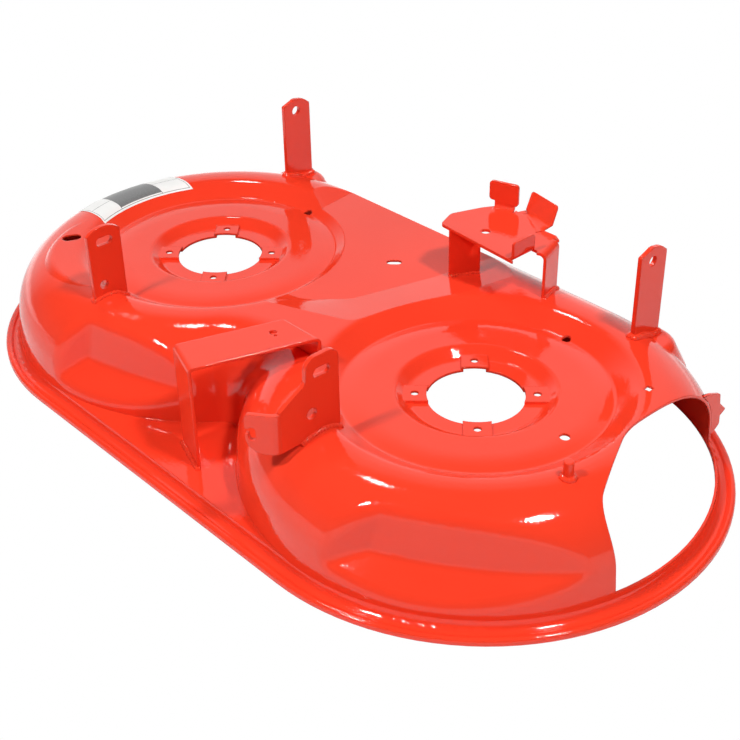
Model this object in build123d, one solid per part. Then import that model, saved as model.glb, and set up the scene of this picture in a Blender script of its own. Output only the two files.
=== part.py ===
"""Side discharge lawn mower deck: pressed shell with its welded brackets.

Millimetres. +X runs from the left spindle to the right one, where the grass
leaves, +Y is the front of the machine and +Z is up. The origin is midway
between the spindles, at the underside of the lip that the deck stands on.
"""

import os
from math import acos, atan2, cos, hypot, pi, radians, sin, sqrt, tan

from build123d import *

# Shell
spindle_spacing = 508.0
sheet = 3.0
deck_height = 131.0
crown_radius = 84.0
wall_radius = 293.0
wall_draft = 5.0
valley_radius = 36.0

# Lip round the foot of the wall
shelf_height = 16.0
shelf_reach = 160.0
lip_root = 8.0
lip_overlap = 0.05
cove_width = 7.0
cove_radius = 8.0
trough_z = 4.0
trough_width = 8.5
bead_z = 8.0
bead_rise = 3.5
bead_width = 7.0
lip_bend = 1.4

# Spindle pans, one to each lobe: dish, flat floor, shallow trough and the slope up to the rim
pan_depth = 16.0
pan_floor_radius = 143.0
pan_floor_edge = 150.0
pan_trough_radius = 166.5
pan_trough_drop = 3.5
pan_rim_radius = 197.0
pan_rim_drop = 0.5
pan_rim_edge = 20.0
pan_rim_lean = 3.0
dish_rim_radius = 99.0
dish_floor_radius = 84.0
dish_depth = 12.0
ear_rise = 4.0
ear_width = 34.0
bolt_circle = 148.4
bolt_hole = 9.6
spindle_hole = 120.0
locating_hole = 12.0

# Low saddle between the lobes: its outline at the floor and at the brim
saddle_drop = 11.0
saddle_corner = 45.0
saddle_floor = [(-262, 380), (-240, 190), (-190, 30), (-60, -30), (-5, 30), (30, 150), (70, 380)]
saddle_brim = [(-310, 380), (-300, 210), (-260, 20), (-110, -110), (90, -40), (140, 150), (190, 380)]

# Pockets drawn into the rear walls: three plan points of the upper wall, and where the deep end runs out
pocket_top_drop = 18.0
pocket_depth = 55.0
pocket_shoulder_slope = 40.0
pocket_draft = 6.0
pocket_corner = 14.0
pocket_edge = 22.0
pocket_overrun = 60.0
right_pocket = [(92, -241), (182, -185), (262, -110)]
right_pocket_end = (36, -300)
left_pocket = [(46, -250), (114, -232), (186, -208)]
left_pocket_end = (8, -306)

# Raised lands under the front hangers and along the left rear rim
front_land_drop = 11.0
front_land_radius = 37.0
front_land_slope = 63.0
front_land_edge = 14.0
rear_land_radius = 138.0
rear_land_at = (-304.0, -86.6)
rear_land_slope = 45.0
rear_land_edge = 14.0

# Discharge opening in the right lobe
discharge_x = 445.0
discharge_elbow_y = 45.0
discharge_corner = (505.0, -78.0)
discharge_sill_z = 21.0
discharge_elbow_radius = 90.0
discharge_corner_radius = 45.0

# Loose holes in the shell
saddle_slot = (21.0, 12.0)
saddle_slot_at = (-39.0, 142.0)
rim_slot = (27.0, 18.0)
rim_slot_at = (-403.5, -152.5)
plate_hole = 12.6
plate_hole_at = (393.5, 0.0)
square_hole = 9.0
square_hole_at = (412.0, 128.0)

# Hangers: heights are above the top of the deck
hanger_plate = 6.0
hanger_width = 50.0
machine_centre_x = -8.5
front_hanger_half = 338.5
front_hanger_y = 230.0
front_hanger_rise = 119.5
front_hanger_hole = 14.0
front_hanger_hole_drop = 19.0
rear_hanger_half = 216.5
rear_hanger_y = -202.5
rear_hanger_rise = 100.0
rear_hanger_arch = 9.0
rear_hanger_slot = (24.5, 12.0)
rear_hanger_slot_drop = 20.5
left_rear_hole = 12.8
left_rear_hole_y = -211.0
left_rear_hole_rise = 17.5
right_rear_hole = 14.5
right_rear_hole_y = -219.0
right_rear_hole_rise = 29.0
hanger_neck = 30.0

# Folded tail of the right rear hanger
tail_fold_y = -264.0
tail_rise = 48.0
tail_height = 51.5
tail_length = 36.5
tail_turn = 54.0
tail_bend = 10.0
tail_foot_corner = 22.0
tail_top_corner = 5.0
tail_notch = (18.0, 9.0)
tail_notch_inset = 8.0
tail_notch_rise = 26.0
tail_mouth = 7.0

# Rear channel bracket
channel_sheet = 4.0
channel_rise = 31.0
channel_turn = -19.0
channel_width = 61.0
channel_rear = (10.5, -257.5)
channel_front_y = -107.0
channel_bend = 3.0
channel_hole = 10.0
channel_pilot = 4.0
channel_hole_at = (44.0, -141.0)
channel_hole_gap = 8.5

# Belt keeper bracket: outline of the level plate
keeper_sheet = 4.0
keeper_rise = 65.0
keeper_bend = 6.0
keeper_hole = 13.0
keeper_hole_at = (86.0, 192.0)
keeper_ear_height = 24.0
keeper_tall_ear_height = 36.0
keeper_head = 20.0
keeper_post_width = 43.0
keeper_post_at = (46.0, 164.0)
keeper_post_turn = 53.5
keeper_outline = [
    (28, 166), (167, 155), (167, 199), (186, 200), (172, 242), (160, 249), (141, 249),
    (92, 273), (81, 277), (77, 266), (71, 267), (43, 258), (33, 241), (16, 197),
]
keeper_leg = [(186, 200), (172, 242)]
keeper_side_ear = [(167, 158), (167, 198)]
keeper_slant_ear = [(139, 246), (92, 273)]
keeper_tall_ear = [(71, 267), (43, 258)]
keeper_ear_head = [(76, 268.6), (35, 255.4)]

# Small parts: outline of the hinge plate in Y and Z
pin_diameter = 12.0
pin_height = 21.0
pin_at = (457.5, -71.5)
hinge_plate = 4.0
hinge_outline = [
    (190, 106), (214, 102), (234, 84), (237, 72), (251, 58), (240, 53), (241, 40), (228, 32), (200, 32),
]
hinge_corners = [6, 6, 4, 2, 2, 5, 4]

# Clearances
seat_gap = 0.2
bracket_root = 12.0
deep = 400.0
touching = 0.001

# Worked out from the sizes above
half_spacing = spindle_spacing / 2
crown_run = wall_radius - crown_radius
crown_centre_z = deck_height - crown_radius
wall_foot_z = shelf_height - sheet / 2
valley_axis_y = -sqrt((wall_radius + valley_radius) ** 2 - half_spacing**2)
lip_radius = wall_radius + cove_width + trough_width + bead_rise + bead_width
pan_floor_z = deck_height - pan_depth
dish_floor_z = pan_floor_z - dish_depth
ear_z = dish_floor_z + ear_rise
bolt_reach = bolt_circle / 2
saddle_z = deck_height - saddle_drop
pocket_top_z = deck_height - pocket_top_drop
pocket_root_z = pocket_top_z - pocket_depth
front_land_z = deck_height - front_land_drop
front_hanger_top = deck_height + front_hanger_rise
rear_hanger_top = deck_height + rear_hanger_rise
tail_top_z = deck_height + tail_rise
channel_top_z = deck_height + channel_rise
keeper_top_z = deck_height + keeper_rise


def shifted(points, distance):
    """Move an open path sideways, to the right of its direction, with mitred corners."""
    normals = []
    for (ax, ay), (bx, by) in zip(points, points[1:]):
        length = hypot(bx - ax, by - ay)
        normals.append(((by - ay) / length, (ax - bx) / length))
    moved = []
    for i, (px, py) in enumerate(points):
        before = normals[max(i - 1, 0)]
        after = normals[min(i, len(normals) - 1)]
        scale = distance / (1 + before[0] * after[0] + before[1] * after[1])
        moved.append((px + (before[0] + after[0]) * scale, py + (before[1] + after[1]) * scale))
    return moved


def rounded(points, radii):
    """Edges of an open path whose inner corners are rounded; radii has one value for each."""
    edges = []
    start = points[0]
    for i in range(1, len(points) - 1):
        (ax, ay), (cx, cy), (bx, by) = points[i - 1], points[i], points[i + 1]
        radius = radii[i - 1]
        if radius <= 0:
            edges.append(Line(start, (cx, cy)))
            start = (cx, cy)
            continue
        la, lb = hypot(ax - cx, ay - cy), hypot(bx - cx, by - cy)
        ua, ub = ((ax - cx) / la, (ay - cy) / la), ((bx - cx) / lb, (by - cy) / lb)
        half = acos(ua[0] * ub[0] + ua[1] * ub[1]) / 2
        reach = radius / tan(half)
        first = (cx + ua[0] * reach, cy + ua[1] * reach)
        last = (cx + ub[0] * reach, cy + ub[1] * reach)
        mid_x, mid_y = ua[0] + ub[0], ua[1] + ub[1]
        far = (radius / sin(half) - radius) / hypot(mid_x, mid_y)
        edges.append(Line(start, first))
        edges.append(ThreePointArc(first, (cx + mid_x * far, cy + mid_y * far), last))
        start = last
    edges.append(Line(start, points[-1]))
    return edges


def closed(edges, corners):
    """Face between a run of edges and the straight corners that close it."""
    ends = [edges[-1] @ 1, *[Vector(*c) for c in corners], edges[0] @ 0]
    return make_face([*edges, *[Line(a, b) for a, b in zip(ends, ends[1:])]])


def plan_prism(points, low, high, corner=0.0):
    """Upright prism on a closed plan outline, its corners rounded to one radius."""
    face = make_face(Polyline(*points, close=True))
    if corner > 0:
        face = fillet(face.vertices(), corner)
    return Pos(0, 0, low) * extrude(face, amount=high - low)


def plate_in_x(face, near_x, thickness):
    """Plate drawn in Y and Z, its +X face at near_x."""
    return Pos(near_x - thickness, 0, 0) * extrude(Plane.YZ * face, amount=thickness)


def crown_edges(inset, foot_z, centre, side):
    """Wall and crown of the skin as edges, from the foot up to the apex."""
    radius = crown_radius - inset
    draft = radians(wall_draft)
    touch = (radius * cos(draft), crown_centre_z + radius * sin(draft))
    foot = touch[0] + (touch[1] - foot_z) * tan(draft)
    middle = (radius * cos(pi / 4), crown_centre_z + radius * sin(pi / 4))
    wall = Line((centre + side * foot, foot_z), (centre + side * touch[0], touch[1]))
    crown = ThreePointArc(
        (centre + side * touch[0], touch[1]),
        (centre + side * middle[0], middle[1]),
        (centre, crown_centre_z + radius),
    )
    return [wall, crown]


def wall_reach(z):
    """Radius of the outside of the wall at a height."""
    draft = radians(wall_draft)
    return crown_run + crown_radius * cos(draft) + (crown_centre_z + crown_radius * sin(draft) - z) * tan(draft)


def body_block(inset, foot_z):
    """Both lobes, the straight front and the valley, with their walls and crowns."""
    top = deck_height - inset
    section = closed(crown_edges(inset, foot_z, crown_run, 1), [(0, top), (0, foot_z)])
    lobe = revolve(Plane.XZ * section, Axis.Z)
    front = Pos(-half_spacing, 0, 0) * extrude(Plane.YZ * section, amount=spindle_spacing)
    middle = plan_prism(
        [(-half_spacing, 0), (0, valley_axis_y), (half_spacing, 0)], foot_z, top
    )
    gap = closed(
        crown_edges(inset, foot_z, valley_radius + crown_radius, -1),
        [(valley_radius + crown_radius, deep), (0, deep), (0, foot_z)],
    )
    valley = Pos(0, valley_axis_y, 0) * revolve(Plane.XZ * gap, Axis.Z)
    lobes = [Pos(x, 0, 0) * lobe for x in (-half_spacing, half_spacing)]
    return lobes[0] + lobes[1] + front + (middle - valley)


def saddle_cut(inset):
    """Space above the low saddle, its sides rising gently to the lobes."""
    low = fillet(make_face(Polyline(*saddle_floor, close=True)).vertices(), saddle_corner)
    high = fillet(make_face(Polyline(*saddle_brim, close=True)).vertices(), saddle_corner)
    rise = saddle_drop * 1.5
    space = loft([low.faces()[0], Pos(0, 0, rise) * high.faces()[0]], ruled=True)
    return Pos(0, 0, saddle_z - inset) * space


def pan_cut(inset):
    """Space in one spindle pan: dish, flat floor, shallow trough and rounded rim."""
    rim_z = deck_height - pan_rim_drop
    path = [
        (0, dish_floor_z),
        (dish_floor_radius, dish_floor_z),
        (dish_rim_radius, pan_floor_z),
        (pan_floor_radius, pan_floor_z),
        (pan_trough_radius, pan_floor_z - pan_trough_drop),
        (pan_rim_radius, rim_z),
        (pan_rim_radius + crown_radius, rim_z + crown_radius * tan(radians(pan_rim_lean))),
    ]
    radii = [10 + inset, 10 - inset, pan_floor_edge - inset, 6 + inset, pan_rim_edge - inset]
    edges = rounded(shifted(path, inset), radii)
    section = closed(edges, [(path[-1][0], deep), (0, deep)])
    return revolve(Plane.XZ * section, Axis.Z)


def pan_ears(inset):
    """Flat lands in the dish that the four spindle bolts stand on."""
    reach = dish_rim_radius - 6
    land = Box(reach, ear_width - 2 * inset, ear_z - inset, align=(Align.MIN, Align.CENTER, Align.MIN))
    ears = [Rot(0, 0, 45 + 90 * i) * land for i in range(4)]
    return ears[0] + ears[1] + ears[2] + ears[3]


def circle_of(a, b, c):
    """Centre of the circle through three plan points."""
    d = 2 * (a[0] * (b[1] - c[1]) + b[0] * (c[1] - a[1]) + c[0] * (a[1] - b[1]))
    sa, sb, sc = (p[0] ** 2 + p[1] ** 2 for p in (a, b, c))
    x = (sa * (b[1] - c[1]) + sb * (c[1] - a[1]) + sc * (a[1] - b[1])) / d
    y = (sa * (c[0] - b[0]) + sb * (a[0] - c[0]) + sc * (b[0] - a[0])) / d
    return x, y


def pocket_cut(inset, wall, end):
    """Space of one rear pocket in a lobe's own frame.

    wall has three points of the upper wall in plan, from the deep end to the
    shallow one; end is where the slanting wall at the deep end runs out.
    """
    first, middle, last = wall
    centre = circle_of(first, middle, last)
    reach = hypot(first[0] - centre[0], first[1] - centre[1])
    lean = tan(radians(pocket_draft))
    fall = tan(radians(pocket_shoulder_slope))
    top, out = deck_height + 30, 70.0
    root = reach + lean * pocket_depth
    path = [
        (reach - lean * (top - pocket_top_z), top),
        (root, pocket_root_z),
        (root + out, pocket_root_z - out * fall),
    ]
    edges = rounded(shifted(path, inset), [pocket_corner + inset])
    section = closed(edges, [(root + out, top)])
    overrun = pocket_overrun / reach * 180 / pi
    from_angle = atan2(first[1] - centre[1], first[0] - centre[0]) * 180 / pi - 2 * overrun
    to_angle = atan2(last[1] - centre[1], last[0] - centre[0]) * 180 / pi + overrun
    ring = revolve(Plane.XZ * section, Axis.Z, revolution_arc=to_angle - from_angle)
    space = Pos(*centre) * Rot(0, 0, from_angle) * ring
    turn = atan2(end[1] - first[1], end[0] - first[0]) * 180 / pi
    beyond = Pos(*first) * Rot(0, 0, turn) * Pos(0, -inset, 0) * Box(
        deep, deep, deep, align=(Align.CENTER, Align.MAX, Align.CENTER)
    )
    return space - beyond


def lies_on(edge, shape):
    """Whether an edge lies on a shape."""
    return all(shape.distance_to(Vertex(edge.position_at(k))) < touching for k in (0.2, 0.5, 0.8))


def drawn_in(solid, cut, inset):
    """Draw a pocket into the wall and round its corners and its brim, as sheet metal bends."""
    dented = solid - cut
    corners = [edge for edge in dented.edges() if any(lies_on(edge, line) for line in cut.edges())]
    dented = dented.fillet(pocket_corner + inset, corners)
    brim = [edge for edge in dented.edges() if lies_on(edge, cut) and lies_on(edge, solid)]
    return dented.fillet(pocket_edge - inset, brim)


def land(radius, slope, edge, inset):
    """Soft edged truncated cone that stands under a land, its top at zero."""
    drop = 40.0
    trim = inset * tan(radians(slope) / 2)
    cone = Cone(
        radius - trim + drop / tan(radians(slope)),
        radius - trim,
        drop,
        align=(Align.CENTER, Align.CENTER, Align.MAX),
    )
    return fillet(cone.edges().sort_by(Axis.Z)[-1], edge - inset)


def lands(inset):
    """Flat raised lands under the front hangers and along the left rear rim."""
    front = land(front_land_radius, front_land_slope, front_land_edge, inset)
    rear = land(rear_land_radius, rear_land_slope, rear_land_edge, inset)
    made = Pos(*rear_land_at, deck_height - inset) * rear
    for side in (-1, 1):
        x = machine_centre_x + side * front_hanger_half - hanger_plate / 2
        made = made + Pos(x, front_hanger_y, front_land_z - inset) * front
    return made


def skin(inset, foot_z):
    """Solid that the outside of the pressing bounds, moved inward by inset."""
    left, right = Pos(-half_spacing, 0, 0), Pos(half_spacing, 0, 0)
    solid = body_block(inset, foot_z)
    solid = drawn_in(solid, left * pocket_cut(inset, left_pocket, left_pocket_end), inset)
    solid = drawn_in(solid, right * pocket_cut(inset, right_pocket, right_pocket_end), inset)
    raised = lands(inset)
    for place in (left, right):
        pan = place * pan_cut(inset)
        solid = solid - pan + place * pan_ears(inset)
        raised = raised - pan
    return solid + raised - saddle_cut(inset)


def turned(before, corner, after):
    """Turn of a path at a corner: positive when it turns left."""
    return (corner[0] - before[0]) * (after[1] - corner[1]) - (corner[1] - before[1]) * (after[0] - corner[0])


def band(points, bends, thickness):
    """Face of a folded strip: a path and its copy one thickness to the right, each bend rounded."""
    lefts = [turned(a, c, b) > 0 for a, c, b in zip(points, points[1:], points[2:])]
    near = rounded(points, [r if left else r + thickness for r, left in zip(bends, lefts)])
    far = rounded(shifted(points, thickness), [r + thickness if left else r for r, left in zip(bends, lefts)])
    ends = [Line(near[0] @ 0, far[0] @ 0), Line(near[-1] @ 1, far[-1] @ 1)]
    return make_face([*near, *far, *ends])


def lip_section():
    """Section of the lip: from the foot of the wall through cove, trough and bead to the outer edge."""
    cove = wall_radius + cove_width
    foot = wall_reach(wall_foot_z) + lip_overlap
    lean = (cove - foot) / (wall_foot_z - trough_z)
    path = [
        (foot - lip_root * lean, wall_foot_z + lip_root),
        (cove, trough_z),
        (cove + trough_width, trough_z),
        (lip_radius - bead_width, bead_z),
        (lip_radius, bead_z),
        (lip_radius, 0),
    ]
    return band(path, [cove_radius, lip_bend, lip_bend, lip_bend], sheet)


def lip():
    """Lip right round the deck and the shelf that fills the rear valley."""
    section = lip_section()
    half = revolve(Plane.XZ * section, Axis.Z, revolution_arc=180)
    right = Pos(half_spacing, 0, 0) * Rot(0, 0, -90) * half
    left = Pos(-half_spacing, 0, 0) * Rot(0, 0, 90) * half
    front = Pos(-half_spacing, 0, 0) * extrude(Plane.YZ * section, amount=spindle_spacing)
    above = Pos(0, 0, shelf_height) * Box(deep * 4, deep * 4, deep, align=(Align.CENTER, Align.CENTER, Align.MIN))
    rear = Rot(0, 0, 180) * front - above
    shelf = Pos(0, -wall_radius - sheet / 2, shelf_height) * Box(
        spindle_spacing, shelf_reach, sheet, align=(Align.CENTER, Align.MIN, Align.MAX)
    )
    return [right, left, front, rear, shelf]


def discharge_cut():
    """Upright space of the discharge opening, above its sill."""
    far = lip_radius + half_spacing + 40
    elbow, corner = (discharge_x, discharge_elbow_y), discharge_corner
    edges = rounded(
        [(discharge_x, far), elbow, corner, (far, corner[1])],
        [discharge_elbow_radius, discharge_corner_radius],
    )
    return Pos(0, 0, discharge_sill_z) * extrude(closed(edges, [(far, far)]), amount=deep)


def shell_holes():
    """Everything drilled or punched through the pressing."""
    cuts = []
    bolts = [Rot(0, 0, 45 + 90 * i) * Pos(bolt_reach, 0) * Circle(bolt_hole / 2) for i in range(4)]
    for x in (-half_spacing, half_spacing):
        cuts.append(Pos(x, 0) * Circle(spindle_hole / 2))
        cuts.append(Pos(x, pan_trough_radius) * Circle(locating_hole / 2))
        cuts.extend(Pos(x, 0) * bolt for bolt in bolts)
    cuts.append(Pos(*saddle_slot_at) * Rot(0, 0, 45) * SlotOverall(*saddle_slot))
    cuts.append(Pos(*rim_slot_at) * Rot(0, 0, 66) * SlotOverall(*rim_slot))
    cuts.append(Pos(*plate_hole_at) * Circle(plate_hole / 2))
    cuts.append(Pos(*square_hole_at) * Rectangle(square_hole, square_hole))
    return [Pos(0, 0, shelf_height + sheet) * extrude(cut, amount=deep) for cut in cuts]


def deck_shell():
    """The pressing: skin less hollow, its lip, the discharge opening and the holes."""
    pressed = skin(0, wall_foot_z)
    for piece in lip():
        pressed = pressed + piece
    pressed = pressed - skin(sheet, -deep / 20) - discharge_cut()
    for cut in shell_holes():
        pressed = pressed - cut
    return pressed


def front_hanger(side):
    """Strap with one hole, its top clipped at the rear and rounded at the front."""
    rear, front = front_hanger_y - hanger_width / 2, front_hanger_y + hanger_width / 2
    top, foot = front_hanger_top, front_land_z - bracket_root
    edges = rounded(
        [(rear, foot), (rear, top - 8), (rear + 22, top), (front - 11, top), (front, top - 13), (front, foot)],
        [3, 14, 9, 9],
    )
    hole_z = top - front_hanger_hole_drop
    face = closed(edges, []) - Pos(front_hanger_y - 2, hole_z) * Circle(front_hanger_hole / 2)
    return plate_in_x(face, machine_centre_x + side * front_hanger_half, hanger_plate)


def hanger_slot():
    """Oblong slot of a rear hanger, drawn in Y and Z."""
    return Pos(rear_hanger_y, rear_hanger_top - rear_hanger_slot_drop) * SlotOverall(*rear_hanger_slot)


def left_rear_hanger():
    """Strap with an arched top, an oblong slot and a round hole."""
    rear, front = rear_hanger_y - hanger_width / 2, rear_hanger_y + hanger_width / 2
    shoulder, foot = rear_hanger_top - rear_hanger_arch, deck_height - 3 * bracket_root
    arch = ThreePointArc((rear, shoulder), (rear_hanger_y, rear_hanger_top), (front, shoulder))
    face = closed([arch], [(front, foot), (rear, foot)]) - hanger_slot()
    hole = Pos(left_rear_hole_y, deck_height + left_rear_hole_rise) * Circle(left_rear_hole / 2)
    return plate_in_x(face - hole, machine_centre_x - rear_hanger_half, hanger_plate)


def hanger_tail(near_x):
    """Folded tail of the right rear hanger, with an open notch and a rounded foot."""
    turn = radians(tail_turn)
    corner = (near_x, tail_fold_y - hanger_plate)
    tip = (corner[0] - tail_length * sin(turn), corner[1] - tail_length * cos(turn))
    foot = tail_top_z - tail_height
    strip = band([(near_x, tail_fold_y + tail_bend), corner, tip], [tail_bend], hanger_plate)
    tail = Pos(0, 0, foot) * extrude(strip, amount=tail_height)
    outline = rounded(
        [(-tail_length * 2, 0), (tail_length, 0), (tail_length, tail_height), (-tail_length * 2, tail_height)],
        [tail_foot_corner, tail_top_corner],
    )
    notch_x = tail_length - tail_notch_inset
    notch = Pos(notch_x, tail_notch_rise) * Rot(0, 0, 90) * SlotOverall(*tail_notch)
    mouth = Pos(notch_x, tail_notch_rise + tail_mouth / 2) * Rectangle(
        2 * tail_notch_inset + tail_mouth, tail_mouth, align=(Align.MIN, Align.CENTER)
    )
    side = Plane(origin=(*corner, foot), x_dir=(-sin(turn), -cos(turn), 0), z_dir=(-cos(turn), sin(turn), 0))
    keep = extrude(side * (closed(outline, []) - notch - mouth), amount=4 * hanger_plate, both=True)
    return tail & keep


def right_rear_hanger():
    """Plate with rounded top corners, a sloping shoulder and a folded tail."""
    rear, front = rear_hanger_y - hanger_width / 2, rear_hanger_y + hanger_width / 2
    near_x = machine_centre_x + rear_hanger_half
    top, foot = rear_hanger_top + 1, deck_height - 3 * bracket_root
    edges = rounded(
        [
            (front, foot),
            (front, top),
            (rear + 3, top),
            (rear + 1, top - hanger_neck),
            (tail_fold_y, tail_top_z + 2),
            (tail_fold_y, tail_top_z - tail_height),
        ],
        [13, 16, 8, 3],
    )
    face = closed(edges, [(rear - 9, tail_top_z - tail_height), (rear - 9, foot)]) - hanger_slot()
    hole = Pos(right_rear_hole_y, deck_height + right_rear_hole_rise) * Circle(right_rear_hole / 2)
    return plate_in_x(face - hole, near_x, hanger_plate) + hanger_tail(near_x)


def folded(plate, a, b, top, end_z, thickness, bend, lean=0.0):
    """Turn the edge from a to b of a level plate up or down to end_z, with a rounded bend."""
    run = hypot(b[0] - a[0], b[1] - a[1])
    along = ((b[0] - a[0]) / run, (b[1] - a[1]) / run)
    stub = bend + thickness
    if end_z < top:
        path = [(0, end_z), (0, top), (stub + thickness, top)]
    else:
        low = top - thickness
        path = [(stub + thickness, low), (0, low), (-(end_z - low) * tan(radians(lean)), end_z)]
    side = Plane(origin=(*a, 0), x_dir=(-along[1], along[0], 0), z_dir=(*along, 0))
    strip = extrude(side * band(path, [bend], thickness), amount=run)
    slack = thickness / 3
    before = (a[0] - along[0] * slack, a[1] - along[1] * slack)
    after = (b[0] + along[0] * slack, b[1] + along[1] * slack)
    return plate - upright(before, after, top - 2 * thickness, top + thickness, stub) + strip


def rear_channel():
    """Wide strip folded down at both ends, bridging the rear valley."""
    turn = radians(channel_turn)
    across, along = (cos(turn), sin(turn)), (-sin(turn), cos(turn))
    half = channel_width / 2
    rear, front, sides = [], [], []
    for s in (-1, 1):
        x, y = channel_rear[0] + s * half * across[0], channel_rear[1] + s * half * across[1]
        run = (channel_front_y - y) / along[1]
        rear.append((x, y))
        front.append((x + run * along[0], channel_front_y))
        sides.append([(x + along[0] * k, y + along[1] * k) for k in (-channel_width, run + channel_width)])
    wide = channel_width * abs(tan(turn))
    level = plan_prism(
        [rear[0], rear[1], (front[1][0] + wide, front[1][1]), (front[0][0] - wide, front[0][1])],
        channel_top_z - channel_sheet,
        channel_top_z,
    )
    ends = ((front[1][0] + wide, front[1][1]), (front[0][0] - wide, front[0][1]))
    strip = folded(level, rear[0], rear[1], channel_top_z, shelf_height + seat_gap, channel_sheet, channel_bend)
    strip = folded(strip, *ends, channel_top_z, saddle_z - bracket_root, channel_sheet, channel_bend)
    strip = strip & plan_prism([sides[0][0], sides[1][0], sides[1][1], sides[0][1]], 0, deep)
    hole = Circle(channel_hole / 2) + Pos(across[0] * channel_hole_gap, across[1] * channel_hole_gap) * Circle(
        channel_pilot / 2
    )
    return strip - Pos(*channel_hole_at, channel_top_z - 20) * extrude(hole, amount=40)


def upright(foot_a, foot_b, low, high, thickness):
    """Plate standing on a plan line, its thickness to the left of it."""
    run = hypot(foot_b[0] - foot_a[0], foot_b[1] - foot_a[1])
    turn = atan2(foot_b[1] - foot_a[1], foot_b[0] - foot_a[0]) * 180 / pi
    slab = Box(run, thickness, high - low, align=(Align.MIN, Align.MIN, Align.MIN))
    return Pos(*foot_a, low) * Rot(0, 0, turn) * slab


def belt_keeper():
    """Plate over the front of the saddle, one leg folded down and three ears folded up."""
    top = keeper_top_z
    low = top - keeper_sheet
    hole = extrude(Circle(keeper_hole / 2), amount=3 * keeper_sheet)
    plate = plan_prism(keeper_outline, low, top) - Pos(*keeper_hole_at, low - keeper_sheet) * hole
    folds = [
        (keeper_leg, saddle_z - bracket_root, 0),
        (keeper_side_ear, top + keeper_ear_height, 0),
        (keeper_slant_ear, top + keeper_ear_height + 2, 28),
        (keeper_tall_ear, top + keeper_tall_ear_height, 0),
    ]
    for line, end_z, lean in folds:
        plate = folded(plate, *line, top, end_z, keeper_sheet, keeper_bend, lean)
    head_top = top + keeper_tall_ear_height
    return plate + upright(*keeper_ear_head, head_top - keeper_head, head_top, keeper_sheet)


def keeper_post():
    """Upright plate under the left end of the belt keeper."""
    turn = radians(keeper_post_turn)
    end = (
        keeper_post_at[0] + keeper_post_width * cos(turn),
        keeper_post_at[1] + keeper_post_width * sin(turn),
    )
    top = keeper_top_z - keeper_sheet - seat_gap
    return upright(keeper_post_at, end, saddle_z - bracket_root, top, keeper_sheet)


def chute_hinge():
    """Small plate standing out from the front wall beside the discharge opening."""
    face = closed(rounded(hinge_outline, hinge_corners), [])
    return plate_in_x(face, discharge_x - 1, hinge_plate)


def belt_pin():
    """Short pin beside the discharge opening."""
    pin = Cylinder(pin_diameter / 2, pin_height, align=(Align.CENTER, Align.CENTER, Align.MIN))
    pin = chamfer(pin.edges().sort_by(Axis.Z)[-1], 1.0)
    return Pos(*pin_at, deck_height + seat_gap) * pin


def main():
    """Build every piece, seat the welded ones on the pressing and write them out."""
    os.makedirs("parts", exist_ok=True)
    seat = skin(-seat_gap, -deep / 20)
    pieces = {
        "left_front_hanger": front_hanger(-1) - seat,
        "right_front_hanger": front_hanger(1) - seat,
        "left_rear_hanger": left_rear_hanger() - seat,
        "right_rear_hanger": right_rear_hanger() - seat,
        "rear_channel_bracket": rear_channel() - seat,
        "belt_keeper_bracket": belt_keeper() - seat,
        "keeper_post": keeper_post() - seat,
        "chute_hinge_plate": chute_hinge() - seat,
        "belt_guide_pin": belt_pin(),
        "deck_shell": deck_shell(),
    }
    for name, piece in pieces.items():
        export_step(piece, f"parts/{name}.step")


if __name__ == "__main__":
    main()
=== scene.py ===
"""Looks of a pressed steel mower deck: gloss red paint, weld beads, a plain sticker and a studio.

Metres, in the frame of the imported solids: +X from the left spindle to the right one, +Y towards the
front of the machine, +Z up, and the floor at the underside of the lip. A class that keeps its sizes in
millimetres says so.
"""

import logging
import math
from dataclasses import dataclass, field
from enum import Enum
from typing import Any, Union

import bmesh
import bpy
from mathutils import Euler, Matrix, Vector, geometry


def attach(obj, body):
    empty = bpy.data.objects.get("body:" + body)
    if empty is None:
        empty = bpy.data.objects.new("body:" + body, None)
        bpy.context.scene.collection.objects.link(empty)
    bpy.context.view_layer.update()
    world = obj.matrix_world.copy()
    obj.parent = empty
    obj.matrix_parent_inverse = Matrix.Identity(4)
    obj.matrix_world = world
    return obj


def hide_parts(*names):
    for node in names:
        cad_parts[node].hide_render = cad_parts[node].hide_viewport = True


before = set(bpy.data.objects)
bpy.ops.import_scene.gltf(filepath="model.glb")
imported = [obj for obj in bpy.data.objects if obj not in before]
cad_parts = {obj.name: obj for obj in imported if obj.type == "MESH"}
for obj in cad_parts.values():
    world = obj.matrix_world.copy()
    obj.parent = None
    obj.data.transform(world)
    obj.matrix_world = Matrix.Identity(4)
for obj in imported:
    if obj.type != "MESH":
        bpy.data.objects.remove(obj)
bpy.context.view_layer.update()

LOG = logging.getLogger("mower_deck")
BODY = "root"
SHELL = "deck_shell"
MM = 0.001
MERGE = 1e-6
Triple = tuple[float, float, float]
Colour = Triple
Plan = tuple[float, float]
Span = tuple[float, float]
Plane = tuple[Vector, Vector]


class MathStep(Enum):
    """Math node operations that the finishes and the weld beads use."""

    ADD = "ADD"
    SUBTRACT = "SUBTRACT"
    MULTIPLY = "MULTIPLY"
    DIVIDE = "DIVIDE"
    SINE = "SINE"
    ABSOLUTE = "ABSOLUTE"
    MINIMUM = "MINIMUM"


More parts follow.
